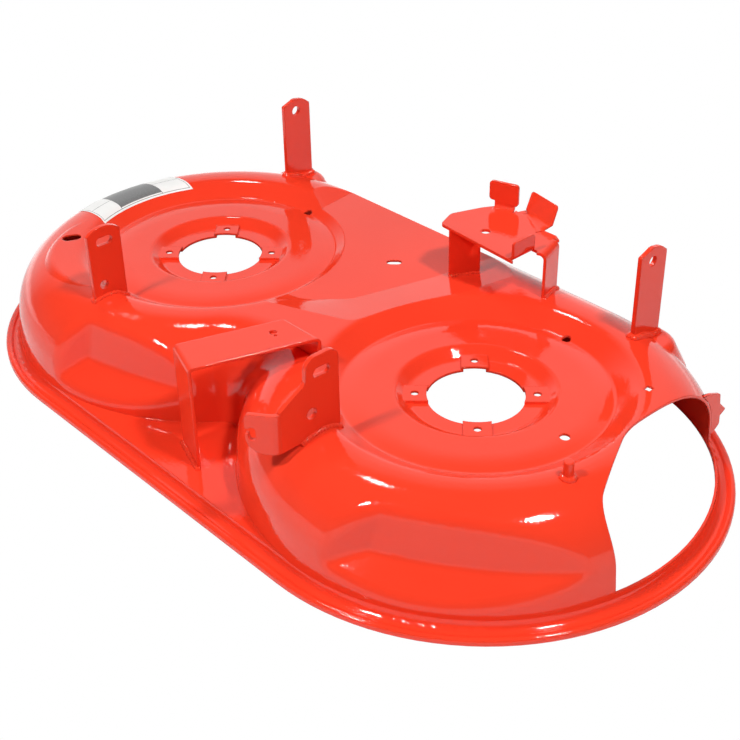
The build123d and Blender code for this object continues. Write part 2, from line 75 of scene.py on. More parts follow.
class Wire:
    """One output socket of a node tree; arithmetic on it adds Math nodes."""

    def __init__(self, tree: "NodeTree", socket: Union[bpy.types.NodeSocket, None]) -> None:
        """Keep the socket and the tree that it belongs to."""
        self.tree = tree
        self.socket = socket

    def _step(self, step: MathStep, left: Any, right: Any = 0.0) -> "Wire":
        """Add one Math node.

        Args:
            step: the operation.
            left: first value or wire.
            right: second value or wire.

        Returns:
            The result as a new wire.
        """
        return self.tree.node("ShaderNodeMath", {"operation": step.value}, {0: left, 1: right})

    def __add__(self, other: Any) -> "Wire":
        """Sum with a value or wire."""
        return self._step(MathStep.ADD, self, other)

    def __sub__(self, other: Any) -> "Wire":
        """Difference from a value or wire."""
        return self._step(MathStep.SUBTRACT, self, other)

    def __rsub__(self, other: Any) -> "Wire":
        """Difference of a value from this wire."""
        return self._step(MathStep.SUBTRACT, other, self)

    def __mul__(self, other: Any) -> "Wire":
        """Product with a value or wire."""
        return self._step(MathStep.MULTIPLY, self, other)

    def __truediv__(self, other: Any) -> "Wire":
        """Quotient by a value or wire."""
        return self._step(MathStep.DIVIDE, self, other)

    def __abs__(self) -> "Wire":
        """Size without the sign."""
        return self._step(MathStep.ABSOLUTE, self)

    __radd__ = __add__
    __rmul__ = __mul__

    def sine(self) -> "Wire":
        """Sine of the value in radians."""
        return self._step(MathStep.SINE, self)

    def least(self, other: Any) -> "Wire":
        """The smaller of this and another value or wire."""
        return self._step(MathStep.MINIMUM, self, other)


class NodeTree:
    """A shader or geometry node tree under construction."""

    def __init__(self, tree: bpy.types.NodeTree) -> None:
        """Start from an empty tree."""
        self.tree = tree
        tree.nodes.clear()

    def node(self, kind: str, settings: dict[str, Any], inputs: dict[Any, Any], output: Any = 0) -> Wire:
        """Add one node, set it up and link it.

        Args:
            kind: the node's type name.
            settings: attributes that are set before its sockets are used.
            inputs: socket name or index to a value or a wire.
            output: name or index of the output that is returned.

        Returns:
            The chosen output as a wire.
        """
        made = self.tree.nodes.new(kind)
        for name, value in settings.items():
            setattr(made, name, value)
        for name, value in inputs.items():
            if isinstance(value, Wire):
                self.tree.links.new(value.socket, made.inputs[name])
            else:
                made.inputs[name].default_value = value
        return Wire(self, made.outputs[output] if len(made.outputs) else None)

    def noise(self, place: Wire, scale: float, detail: float = 2.0) -> Wire:
        """Noise from 0 to 1.

        Args:
            place: the coordinates that it is read at.
            scale: its fineness, in waves for each metre.
            detail: how many finer layers it has.

        Returns:
            The noise value.
        """
        return self.node("ShaderNodeTexNoise", {}, {"Vector": place, "Scale": scale, "Detail": detail})

    def ramp(self, factor: Wire, low: float, high: float) -> Wire:
        """Smooth step of a value from 0 at low to 1 at high.

        Args:
            factor: the value to map.
            low: value that gives 0.
            high: value that gives 1.

        Returns:
            The mapped value.
        """
        inputs = {"Value": factor, "From Min": low, "From Max": high}
        return self.node("ShaderNodeMapRange", {"interpolation_type": "SMOOTHSTEP"}, inputs)

    def blend(self, factor: Any, first: Any, second: Any) -> Wire:
        """Mix two colours.

        Args:
            factor: 0 gives the first colour and 1 the second.
            first: a colour or wire.
            second: a colour or wire.

        Returns:
            The mixed colour.
        """
        inputs = {0: factor, 6: first, 7: second}
        return self.node("ShaderNodeMix", {"data_type": "RGBA"}, inputs, output=2)

    def dot(self, first: Wire, second: Triple) -> Wire:
        """Dot product of a vector wire and a fixed direction."""
        settings = {"operation": "DOT_PRODUCT"}
        return self.node("ShaderNodeVectorMath", settings, {0: first, 1: second}, output="Value")


def rgba(colour: Colour) -> tuple[float, float, float, float]:
    """Colour with full alpha."""
    return (*colour, 1.0)


def grey(value: float) -> tuple[float, float, float, float]:
    """Grey with full alpha."""
    return rgba((value, value, value))


def new_material(name: str) -> tuple[bpy.types.Material, NodeTree]:
    """Start a material.

    Args:
        name: its name.

    Returns:
        The material and its empty node tree.
    """
    made = bpy.data.materials.new(name)
    made.use_nodes = True
    return made, NodeTree(made.node_tree)


def new_piece(name: str, data: bpy.types.ID) -> bpy.types.Object:
    """Put a mesh, curve or other data into the scene at the origin.

    Args:
        name: the object's name.
        data: what it shows.

    Returns:
        The object.
    """
    made = bpy.data.objects.new(name, data)
    bpy.context.collection.objects.link(made)
    return made


@dataclass(frozen=True)
class GlossPaint:
    """Sprayed and baked gloss paint: slight orange peel, uneven gloss and settled dust."""

    name: str
    colour: Colour = (0.90, 0.050, 0.019)
    deep_colour: Colour = (0.87, 0.045, 0.017)
    dust_colour: Colour = (0.62, 0.28, 0.24)
    roughness: float = 0.06
    roughness_spread: float = 0.05
    refraction: float = 1.46
    drift_scale: float = 5.0
    drift_span: Span = (0.3, 0.7)
    cloud_scale: float = 38.0
    cloud_detail: float = 4.0
    cloud_span: Span = (0.40, 0.70)
    speck_scale: float = 900.0
    speck_span: Span = (0.68, 0.80)
    dust_share: float = 0.22
    dust_roughness: float = 0.5
    peel_scale: float = 260.0
    peel_height: float = 0.00010
    wave_scale: float = 15.0
    wave_height: float = 0.00050
    edge_radius: float = 0.0022
    edge_samples: int = 4

    def material(self) -> bpy.types.Material:
        """Build the material.

        Returns:
            The finished material.
        """
        made, tree = new_material(self.name)
        place = tree.node("ShaderNodeTexCoord", {}, {}, output="Object")
        drift = tree.noise(place, self.drift_scale)
        cloud = tree.noise(place, self.cloud_scale, self.cloud_detail)
        speck = tree.noise(place, self.speck_scale)
        peel = tree.noise(place, self.peel_scale, 1.0)
        wave = tree.noise(place, self.wave_scale, 1.0)
        dust = tree.ramp(speck, *self.speck_span) * tree.ramp(cloud, *self.cloud_span) * self.dust_share
        shade = tree.blend(tree.ramp(drift, *self.drift_span), rgba(self.deep_colour), rgba(self.colour))
        base = tree.blend(dust, shade, rgba(self.dust_colour))
        smoothest = self.roughness - self.roughness_spread / 2
        gloss = cloud * self.roughness_spread + smoothest + dust * self.dust_roughness
        edge = tree.node("ShaderNodeBevel", {"samples": self.edge_samples}, {"Radius": self.edge_radius})
        height = peel * self.peel_height + wave * self.wave_height
        bump = tree.node("ShaderNodeBump", {}, {"Distance": 1.0, "Height": height, "Normal": edge})
        inputs = {"Base Color": base, "Roughness": gloss, "Normal": bump, "IOR": self.refraction}
        surface = tree.node("ShaderNodeBsdfPrincipled", {}, inputs)
        tree.node("ShaderNodeOutputMaterial", {}, {"Surface": surface})
        return made


@dataclass(frozen=True)
class PrintedFilm:
    """Printed sticker film: white field, thin frame and cell lines and a grey block in the middle."""

    name: str
    length: float
    width: float
    field_colour: Colour = (0.90, 0.89, 0.87)
    stain_colour: Colour = (0.66, 0.60, 0.52)
    line_colour: Colour = (0.10, 0.10, 0.10)
    block_colour: Colour = (0.17, 0.17, 0.17)
    worn_colour: Colour = (0.30, 0.30, 0.30)
    line_inset: float = 0.0030
    line_width: float = 0.0007
    cell_line: Span = (0.0003, 0.0005)
    block_length: float = 0.076
    block_gap: float = 0.0058
    print_blur: float = 0.0001
    stain_scale: float = 30.0
    stain_span: Span = (0.45, 0.8)
    stain_share: float = 0.12
    mottle_scale: float = 420.0
    mottle_detail: float = 3.0
    worn_span: Span = (0.35, 0.75)
    worn_share: float = 0.35
    roughness: float = 0.30
    roughness_spread: float = 0.12
    grain_strength: float = 0.6
    grain_height: float = 0.00004

    def past(self, tree: NodeTree, inside: Wire, width: float) -> Wire:
        """Mask that is 1 where a distance from an edge is more than a width.

        Args:
            tree: the tree to add to.
            inside: distance inwards from the edge.
            width: where the mask begins.

        Returns:
            The mask.
        """
        return tree.ramp(inside, width - self.print_blur, width + self.print_blur)

    def material(self) -> bpy.types.Material:
        """Build the material.

        Returns:
            The finished material.
        """
        made, tree = new_material(self.name)
        film = tree.node("ShaderNodeUVMap", {"uv_map": "film"}, {})
        u = tree.node("ShaderNodeSeparateXYZ", {}, {0: film}, output="X") * self.length
        v = tree.node("ShaderNodeSeparateXYZ", {}, {0: film}, output="Y") * self.width
        from_middle = abs(u - self.length / 2)
        from_centre_line = abs(v - self.width / 2)
        from_sides = self.width / 2 - from_centre_line
        inside = (self.length / 2 - from_middle).least(from_sides)
        in_frame = self.past(tree, inside, self.line_inset)
        frame_line = in_frame - self.past(tree, inside, self.line_inset + self.line_width)
        from_block = (self.block_length / 2 - from_middle).least(from_sides - self.block_gap)
        divider = 1.0 - tree.ramp(abs(from_middle - self.block_length / 2), *self.cell_line)
        cell = 1.0 - tree.ramp(from_centre_line, *self.cell_line)
        lines = frame_line + (divider + cell).least(1.0) * in_frame
        place = tree.node("ShaderNodeTexCoord", {}, {}, output="Object")
        mottle = tree.noise(place, self.mottle_scale, self.mottle_detail)
        blotch = tree.noise(place, self.stain_scale, self.mottle_detail)
        stain = tree.ramp(blotch, *self.stain_span) * self.stain_share
        paper = tree.blend(stain, rgba(self.field_colour), rgba(self.stain_colour))
        lined = tree.blend(lines, paper, rgba(self.line_colour))
        worn = tree.ramp(mottle, *self.worn_span) * self.worn_share
        ink = tree.blend(worn, rgba(self.block_colour), rgba(self.worn_colour))
        base = tree.blend(self.past(tree, from_block, 0.0), lined, ink)
        grain = {"Strength": self.grain_strength, "Distance": self.grain_height, "Height": mottle}
        bump = tree.node("ShaderNodeBump", {}, grain)
        gloss = mottle * self.roughness_spread + self.roughness
        inputs = {"Base Color": base, "Roughness": gloss, "Normal": bump}
        surface = tree.node("ShaderNodeBsdfPrincipled", {}, inputs)
        tree.node("ShaderNodeOutputMaterial", {}, {"Surface": surface})
        return made


@dataclass
class PaintedNode:
    """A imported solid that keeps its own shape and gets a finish."""

    node: str
    finish: bpy.types.Material

    def dress(self) -> bpy.types.Object:
        """Give the solid its finish.

        Returns:
            The dressed object.
        """
        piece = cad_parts[self.node]
        piece.data.materials.clear()
        piece.data.materials.append(self.finish)
        return piece


def against_line(corner: Vector, start: Plan, end: Plan) -> Triple:
    """Place of a point against a line in plan.

    Args:
        corner: the point in metres.
        start: start of the line in millimetres.
        end: end of the line in millimetres.

    Returns:
        The run along the line, the distance to its right and the line's length, in millimetres.
    """
    line = Vector(end) - Vector(start)
    along = line.normalized()
    place = Vector((corner.x, corner.y)) / MM - Vector(start)
    return place @ along, place @ Vector((along.y, -along.x)), line.length


@dataclass(frozen=True)
class EarShift:
    """How far the corners of the slanting ear move in plan from its fold line, in millimetres."""

    fold_right: Plan = (139.0, 246.0)
    fold_left: Plan = (92.0, 273.0)
    foot_right: Plan = (1.5, 12.5)
    foot_left: Plan = (-7.1, 0.3)
    top_right: Plan = (-7.9, 17.0)
    top_left: Plan = (-13.3, 1.0)
    plate_z: float = 196.2
    foot_z: float = 199.6
    top_z: float = 222.0
    inside: float = 10.6
    spare: float = 3.5
    columns: int = 6
    rows: int = 5

    def cuts(self) -> list[Plane]:
        """Planes that divide the ear finely enough to bend it.

        Returns:
            A point and a normal for each plane.
        """
        right, left = (Vector((*end, 0.0)) * MM for end in (self.fold_right, self.fold_left))
        upright = [(right.lerp(left, k / self.columns), left - right) for k in range(1, self.columns)]
        heights = [self.foot_z + (self.top_z - self.foot_z) * k / self.rows for k in range(self.rows)]
        return upright + [(Vector((0.0, 0.0, z * MM)), Vector((0.0, 0.0, 1.0))) for z in heights]

    def move(self, corner: Vector) -> Vector:
        """Shift of one point of the bracket, which is nothing away from the ear.

        Args:
            corner: the point in metres.

        Returns:
            The shift in metres.
        """
        run, out, length = against_line(corner, self.fold_right, self.fold_left)
        height = corner.z / MM
        if height < self.plate_z or out < -self.inside or not -self.spare < run < length + self.spare:
            return Vector((0.0, 0.0, 0.0))
        across = run / length
        up = min(max((height - self.foot_z) / (self.top_z - self.foot_z), 0.0), 1.0)
        bent = min((height - self.plate_z) / (self.foot_z - self.plate_z), 1.0)
        foot = Vector(self.foot_right).lerp(Vector(self.foot_left), across)
        top = Vector(self.top_right).lerp(Vector(self.top_left), across)
        return (foot.lerp(top, up) * bent * MM).to_3d()


@dataclass(frozen=True)
class HeadStretch:
    """How the head of the tall ear is made deeper, in millimetres."""

    right_end: Plan = (76.0, 268.6)
    left_end: Plan = (35.0, 255.4)
    neck_right: float = 5.8
    neck_left: float = 34.0
    under_span: Span = (211.5, 217.5)
    top_z: float = 226.0
    reach: float = 6.0
    spare: float = 1.0
    drop_right: float = 9.4
    drop_left: float = 5.5
    rise: float = 2.5

    def move(self, corner: Vector) -> Vector:
        """Shift of one point of the bracket, which is nothing away from the head's top and underside.

        Args:
            corner: the point in metres.

        Returns:
            The shift in metres.
        """
        run, out, length = against_line(corner, self.right_end, self.left_end)
        height = corner.z / MM
        lowest, highest = self.under_span
        shift = 0.0
        if abs(out) < self.reach and -self.spare < run < length + self.spare:
            if height > self.top_z:
                shift = self.rise
            elif lowest < height < highest and run < self.neck_right:
                shift = -self.drop_right
            elif lowest < height < highest and run > self.neck_left:
                shift = -self.drop_left
        return Vector((0.0, 0.0, shift * MM))


@dataclass
class ReshapedNode:
    """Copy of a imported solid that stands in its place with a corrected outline."""

    node: str
    finish: bpy.types.Material
    flat_angle: float = 1.0
    sharp_angle: float = 25.0

    def reshape(self, work: bmesh.types.BMesh) -> None:
        """Change the copy.

        Args:
            work: the copy, welded and with its flat faces joined.
        """
        raise NotImplementedError

    def divide(self, work: bmesh.types.BMesh, planes: list[Plane]) -> None:
        """Cut every face along planes, with nothing taken away.

        Args:
            work: the copy.
            planes: a point and a normal for each plane.
        """
        for place, way in planes:
            everything = [*work.verts, *work.edges, *work.faces]
            bmesh.ops.bisect_plane(work, geom=everything, dist=MERGE, plane_co=place, plane_no=way)

    def mesh(self) -> bpy.types.Mesh:
        """Copy the solid's mesh and reshape it.

        Returns:
            The finished mesh.
        """
        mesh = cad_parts[self.node].data.copy()
        mesh.name = f"{self.node}_reshaped"
        flat = math.radians(self.flat_angle)
        work = bmesh.new()
        work.from_mesh(mesh)
        bmesh.ops.remove_doubles(work, verts=work.verts, dist=MERGE)
        bmesh.ops.dissolve_limit(work, angle_limit=flat, verts=work.verts, edges=work.edges)
        self.reshape(work)
        bmesh.ops.triangulate(work, faces=work.faces)
        work.to_mesh(mesh)
        work.free()
        mesh.shade_smooth()
        mesh.set_sharp_from_angle(angle=math.radians(self.sharp_angle))
        mesh.materials.clear()
        mesh.materials.append(self.finish)
        return mesh

    def build(self) -> bpy.types.Object:
        """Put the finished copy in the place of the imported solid.

        Returns:
            The copy.
        """
        mesh = self.mesh()
        piece = new_piece(mesh.name, mesh)
        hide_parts(self.node)
        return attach(piece, BODY)


@dataclass
class KeeperBracket(ReshapedNode):
    """Belt keeper bracket with free corners rounded and two of its ears set right."""

    ear: EarShift = field(default_factory=EarShift)
    head: HeadStretch = field(default_factory=HeadStretch)
    thickness: float = 0.004
    thickness_slack: float = 0.0002
    radius: float = 0.0048
    segments: int = 5
    corner_angle: float = 35.0
    ear_lowest: float = 0.1995
    end_rightmost: float = 0.030

    def is_free_corner(self, edge: bmesh.types.BMEdge) -> bool:
        """Tell whether an edge runs across the sheet at a corner of an ear or of the left end.

        Args:
            edge: an edge of the bracket.

        Returns:
            True for an edge to round off.
        """
        if not edge.is_manifold or abs(edge.calc_length() - self.thickness) > self.thickness_slack:
            return False
        on_ear = min(corner.co.z for corner in edge.verts) > self.ear_lowest
        on_end = max(corner.co.x for corner in edge.verts) < self.end_rightmost
        return (on_ear or on_end) and edge.calc_face_angle_signed(0.0) > math.radians(self.corner_angle)

    def reshape(self, work: bmesh.types.BMesh) -> None:
        """Round the corners, deepen the tall ear's head and move the slanting ear.

        Args:
            work: the copy.
        """
        corners = [edge for edge in work.edges if self.is_free_corner(edge)]
        LOG.info("rounding %d corners of %s", len(corners), self.node)
        bmesh.ops.bevel(
            work,
            geom=corners,
            offset=self.radius,
            segments=self.segments,
            profile=0.5,
            affect="EDGES",
            clamp_overlap=True,
        )
        for corner in work.verts:
            corner.co += self.head.move(corner.co)
        self.divide(work, self.ear.cuts())
        bmesh.ops.triangulate(work, faces=work.faces)
        for corner in work.verts:
            corner.co += self.ear.move(corner.co)


@dataclass
class ArchedHanger(ReshapedNode):
    """Front hanger whose clipped top is brought close to one round arch."""

    arch_y: float = 0.22788
    arch_z: float = 0.21350
    radius: float = 0.03655
    rear: float = 0.205
    front: float = 0.255
    rim_span: float = 0.0054
    steps: int = 32
    rear_lowest: float = 0.240
    front_lowest: float = 0.237
    front_start: float = 0.243
    sunk: float = 0.0004

    def is_crossed(self, corner: bmesh.types.BMVert) -> bool:
        """Tell whether one edge runs right across the strap's thickness at a point.

        Args:
            corner: a point of the strap.

        Returns:
            True where one does.
        """
        spans = (abs(edge.verts[0].co.x - edge.verts[1].co.x) for edge in corner.link_edges)
        return max(spans) > self.rim_span

    def reshape(self, work: bmesh.types.BMesh) -> None:
        """Divide the top finely, lay its crossed points on the arch and keep the others below it.

        Args:
            work: the copy.
        """
        bmesh.ops.triangulate(work, faces=work.faces)
        pitch = (self.front - self.rear) / self.steps
        places = [Vector((0.0, self.rear + pitch * k, 0.0)) for k in range(1, self.steps)]
        self.divide(work, [(place, Vector((0.0, 1.0, 0.0))) for place in places])
        for corner in work.verts:
            lowest = self.front_lowest if corner.co.y > self.front_start else self.rear_lowest
            if corner.co.z < lowest:
                continue
            top = self.arch_z + math.sqrt(self.radius**2 - (corner.co.y - self.arch_y) ** 2)
            corner.co.z = top if self.is_crossed(corner) else min(corner.co.z, top - self.sunk)
        bmesh.ops.remove_doubles(work, verts=work.verts, dist=MERGE)
        bmesh.ops.dissolve_degenerate(work, dist=MERGE, edges=work.edges)


@dataclass
class HingePlate(ReshapedNode):
    """Chute hinge plate whose top runs level to its outer corner, in millimetres."""

    top_edge: tuple[Plan, ...] = ((190.0, 106.0), (214.0, 102.0), (234.0, 84.0))
    edge_share: Span = (-0.1, 1.3)
    reach: float = 2.0
    lowest: float = 77.0
    inner_drop: float = -4.5
    outer_rise: float = 4.0
    outward: float = 1.5
    seat_end: float = 227.0

    def on_top_edge(self, place: Vector) -> bool:
        """Tell whether a point lies on the plate's top edge.

        Args:
            place: y and z of the point.

        Returns:
            True on the top edge.
        """
        least, most = self.edge_share
        for first, last in zip(self.top_edge, self.top_edge[1:]):
            near, share = geometry.intersect_point_line(place, Vector(first), Vector(last))
            if least < share < most and (near - place).length < self.reach:
                return True
        return False

    def reshape(self, work: bmesh.types.BMesh) -> None:
        """Lower the inner end of the top and raise the outer end.

        Args:
            work: the copy.
        """
        inner, outer = self.top_edge[1][0], self.top_edge[2][0]
        for corner in work.verts:
            place = Vector((corner.co.y, corner.co.z)) / MM
            share = min(max((place.x - inner) / (outer - inner), 0.0), 1.0)
            if place.x > self.seat_end:
                corner.co.y += self.outward * MM
            if place.y > self.lowest and self.on_top_edge(place):
                corner.co.z += (self.inner_drop + (self.outer_rise - self.inner_drop) * share) * MM


class DeckSurface:
    """The outside of the pressing, found by rays."""

    START_Z = 0.5

    def __init__(self) -> None:
        """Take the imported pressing."""
        self.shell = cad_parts[SHELL]

    def below(self, x: float, y: float) -> tuple[Vector, Vector]:
        """Top of the pressing at a plan point.

        Args:
            x: plan x in metres.
            y: plan y in metres.

        Returns:
            The point and the normal there.
        """
        start = Vector((x, y, self.START_Z))
        found, point, normal, _ = self.shell.ray_cast(start, Vector((0.0, 0.0, -1.0)))
        if not found:
            raise ValueError(f"no surface below {tuple(start)}")
        return point, normal


@dataclass
class PlainSticker:
    """Plain printed sticker laid over the rim of the left lobe, in millimetres."""

    surface: DeckSurface
    name: str = "plain_sticker"
    centre: Plan = (-254.0, 0.0)
    inner_radius: float = 186.5
    outer_radius: float = 250.0
    slope_stretch: float = 1.04
    middle_angle: float = 181.4
    length: float = 170.0
    columns: int = 84
    rows: int = 36
    lift: float = 0.35

    def mesh(self) -> bpy.types.Mesh:
        """Lay a fine grid on the pressing, with one flat map for the print.

        Returns:
            The sticker's mesh.
        """
        vertices, faces, places = [], [], []
        for j in range(self.rows + 1):
            v = j / self.rows
            radius = self.inner_radius + (self.outer_radius - self.inner_radius) * v
            for i in range(self.columns + 1):
                u = i / self.columns
                angle = math.radians(self.middle_angle) + (0.5 - u) * self.length / radius
                x = (self.centre[0] + radius * math.cos(angle)) * MM
                y = (self.centre[1] + radius * math.sin(angle)) * MM
                point, normal = self.surface.below(x, y)
                vertices.append(point + normal * self.lift * MM)
                places.append((u, v))
        across = self.columns + 1
        for j in range(self.rows):
            for i in range(self.columns):
                a = j * across + i
                faces.append((a, a + 1, a + across + 1, a + across))
        mesh = bpy.data.meshes.new(self.name)
        mesh.from_pydata(vertices, [], faces)
        film = mesh.uv_layers.new(name="film")
        for loop in mesh.loops:
            film.data[loop.index].uv = places[loop.vertex_index]
        mesh.shade_smooth()
        return mesh

    def build(self) -> bpy.types.Object:
        """Make and dress the sticker.

        Returns:
            The sticker.
        """
        mesh = self.mesh()
        width = (self.outer_radius - self.inner_radius) * self.slope_stretch
        mesh.materials.append(PrintedFilm("printed_film", self.length * MM, width * MM).material())
        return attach(new_piece(self.name, mesh), BODY)


@dataclass
class BeadPath:
    """Foot of one bracket that a weld bead follows, in plan millimetres."""

    corners: list[Plan]
    radius: float
    ring: bool = False
    step: float = 2.0

    def plan_points(self) -> list[Plan]:
        """Evenly spaced plan points along the path.

        Returns:
            The points in millimetres.
        """
        corners = self.corners + self.corners[:1] if self.ring else self.corners
        points = []
        for (ax, ay), (bx, by) in zip(corners, corners[1:]):
            count = max(1, round(math.hypot(bx - ax, by - ay) / self.step))
            points.extend((ax + (bx - ax) * k / count, ay + (by - ay) * k / count) for k in range(count))
        return points if self.ring else points + [corners[-1]]


@dataclass
class BracketFeet:
    """Where each bracket stands on the top or the shelf and how big its bead is, in millimetres."""

    strap_thickness: float = 6.0
    front_strap_faces: Span = (-347.0, 330.0)
    front_strap_run: Span = (205.0, 255.0)
    front_strap_bead: float = 5.5
    rear_strap_face: float = -225.0
    rear_strap_run: Span = (-227.5, -177.5)
    rear_strap_bead: float = 3.6
    rear_plate: tuple[Plan, ...] = ((208.0, -236.0), (208.0, -177.5), (202.0, -177.5), (202.0, -236.0))
    rear_plate_bead: float = 3.8
    channel_foot: tuple[Plan, ...] = ((-17.0, -245.0), (-18.4, -248.0), (39.2, -268.0), (40.4, -265.0))
    channel_end: tuple[Plan, ...] = ((31.0, -106.8), (94.0, -106.8))
    keeper_leg: tuple[Plan, ...] = ((186.4, 200.0), (172.4, 242.0))
    post_near: tuple[Plan, ...] = ((46.3, 163.6), (71.9, 198.2))
    post_far: tuple[Plan, ...] = ((42.6, 166.5), (68.2, 201.0))
    folded_bead: float = 3.4
    pin_at: Plan = (457.5, -71.5)
    pin_radius: float = 6.2
    pin_sides: int = 12
    pin_bead: float = 4.2

    def strap(self, face_x: float, run: Span, bead: float) -> BeadPath:
        """Bead round the foot of an upright strap.

        Args:
            face_x: place of its +X face.
            run: its rear and front edges in y.
            bead: radius of the bead.

        Returns:
            The closed path.
        """
        low, high = face_x - self.strap_thickness, face_x
        rear, front = run
        return BeadPath([(high, rear), (high, front), (low, front), (low, rear)], bead, ring=True)

    def pin(self) -> BeadPath:
        """Bead round the foot of the belt guide pin."""
        x, y = self.pin_at
        reach = self.pin_radius
        turns = [math.radians(360 / self.pin_sides * k) for k in range(self.pin_sides)]
        ring = [(x + reach * math.cos(turn), y + reach * math.sin(turn)) for turn in turns]
        return BeadPath(ring, self.pin_bead, ring=True)

    def paths(self) -> list[BeadPath]:
        """List the beads of every bracket.

        Returns:
            One path for each bead.
        """
        beads = []
        for face in self.front_strap_faces:
            beads.append(self.strap(face, self.front_strap_run, self.front_strap_bead))
        beads.append(self.strap(self.rear_strap_face, self.rear_strap_run, self.rear_strap_bead))
        beads.append(BeadPath(list(self.rear_plate), self.rear_plate_bead))
        for foot in (self.channel_foot, self.channel_end, self.keeper_leg, self.post_near, self.post_far):
            beads.append(BeadPath(list(foot), self.folded_bead))
        return beads + [self.pin()]


@dataclass
class WeldBeads:
    """Rippled weld beads along the feet of the brackets."""

    surface: DeckSurface
    finish: bpy.types.Material
    name: str = "weld_beads"
    feet: BracketFeet = field(default_factory=BracketFeet)
    ripple_pitch: float = 0.0042
    ripple_depth: float = 0.20
    lump_scale: float = 160.0
    lump_depth: float = 0.5
    lump_turn: float = 3.0
    wobble: float = 0.0016
    wobble_scale: float = 300.0
    sample_step: float = 0.0007
    sides: int = 18
    seed: int = 7

    def curve(self) -> bpy.types.Object:
        """Trace every path on the pressing.

        Returns:
            A curve object with one spline for each bead, its radius in its points.
        """
        data = bpy.data.curves.new("bead_paths", "CURVE")
        data.dimensions = "3D"
        for path in self.feet.paths():
            spots = [self.surface.below(x * MM, y * MM)[0] for x, y in path.plan_points()]
            line = data.splines.new("POLY")
            line.points.add(len(spots) - 1)
            line.use_cyclic_u = path.ring
            for point, spot in zip(line.points, spots):
                point.co = (*spot, 1.0)
                point.radius = path.radius * MM
        return new_piece(self.name, data)

    def tree(self) -> bpy.types.NodeTree:
        """Build the nodes that sweep a rippled, uneven bead along each curve.

        Returns:
            The geometry node tree.
        """
        group = bpy.data.node_groups.new("rippled_weld_bead", "GeometryNodeTree")
        sockets = group.interface
        sockets.new_socket("Geometry", in_out="OUTPUT", socket_type="NodeSocketGeometry")
        for name, kind in (
            ("Geometry", "NodeSocketGeometry"),
            ("Ripple Pitch", "NodeSocketFloat"),
            ("Ripple Depth", "NodeSocketFloat"),
            ("Wobble", "NodeSocketFloat"),
            ("Seed", "NodeSocketInt"),
            ("Finish", "NodeSocketMaterial"),
        ):
            sockets.new_socket(name, in_out="INPUT", socket_type=kind)
        tree = NodeTree(group)
        given = group.nodes.new("NodeGroupInput")
        wires = {socket.name: Wire(tree, socket) for socket in given.outputs if socket.name}
        pieces = {"Curve": wires["Geometry"], "Length": self.sample_step}
        spaced = tree.node("GeometryNodeResampleCurve", {"mode": "LENGTH"}, pieces)
        run = tree.node("GeometryNodeSplineParameter", {}, {}, output="Length")
        place = tree.node("GeometryNodeInputPosition", {}, {})
        lumps = {"Vector": place, "W": wires["Seed"], "Scale": self.lump_scale, "Detail": 2.0}
        lump = tree.node("ShaderNodeTexNoise", {"noise_dimensions": "4D"}, lumps)
        ripple = abs((run * math.pi / wires["Ripple Pitch"] + lump * self.lump_turn).sine()) - 0.5
        size = tree.node("GeometryNodeInputRadius", {}, {})
        swell = size * (1.0 + ripple * wires["Ripple Depth"] + (lump - 0.5) * self.lump_depth)
        sized = tree.node("GeometryNodeSetCurveRadius", {}, {"Curve": spaced, "Radius": swell})
        ring = {"Resolution": self.sides, "Radius": 1.0}
        circle = tree.node("GeometryNodeCurvePrimitiveCircle", {"mode": "RADIUS"}, ring)
        width = tree.node("GeometryNodeInputRadius", {}, {})
        sweep = {"Curve": sized, "Profile Curve": circle, "Scale": width, "Fill Caps": True}
        swept = tree.node("GeometryNodeCurveToMesh", {}, sweep)
        shakes = {"Vector": place, "W": wires["Seed"], "Scale": self.wobble_scale, "Detail": 2.0}
        shake = tree.node("ShaderNodeTexNoise", {"noise_dimensions": "4D"}, shakes, output="Color")
        middle = {0: shake, 1: (0.5, 0.5, 0.5)}
        centred = tree.node("ShaderNodeVectorMath", {"operation": "SUBTRACT"}, middle)
        scaled = {0: centred, "Scale": wires["Wobble"]}
        moved = tree.node("ShaderNodeVectorMath", {"operation": "SCALE"}, scaled)
        uneven = tree.node("GeometryNodeSetPosition", {}, {"Geometry": swept, "Offset": moved})
        smooth = tree.node("GeometryNodeSetShadeSmooth", {}, {"Geometry": uneven})
        solid = tree.node("GeometryNodeRealizeInstances", {}, {"Geometry": smooth})
        dressed = tree.node("GeometryNodeSetMaterial", {}, {"Geometry": solid, "Material": wires["Finish"]})
        tree.node("NodeGroupOutput", {}, {"Geometry": dressed})
        return group

    def build(self) -> bpy.types.Object:
        """Make every bead as one plain mesh.

        Returns:
            The beads.
        """
        path = self.curve()
        group = self.tree()
        sweep = path.modifiers.new("beads", "NODES")
        sweep.node_group = group
        values = {
            "Ripple Pitch": self.ripple_pitch,
            "Ripple Depth": self.ripple_depth,
            "Wobble": self.wobble,
            "Seed": self.seed,
            "Finish": self.finish,
        }
        for item in group.interface.items_tree:
            if item.in_out == "INPUT" and item.name in values:
                sweep[item.identifier] = values[item.name]
        depsgraph = bpy.context.evaluated_depsgraph_get()
        mesh = bpy.data.meshes.new_from_object(path.evaluated_get(depsgraph))
        path.modifiers.clear()
        bpy.data.objects.remove(path)
        mesh.name = self.name
        piece = new_piece(self.name, mesh)
        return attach(piece, BODY)


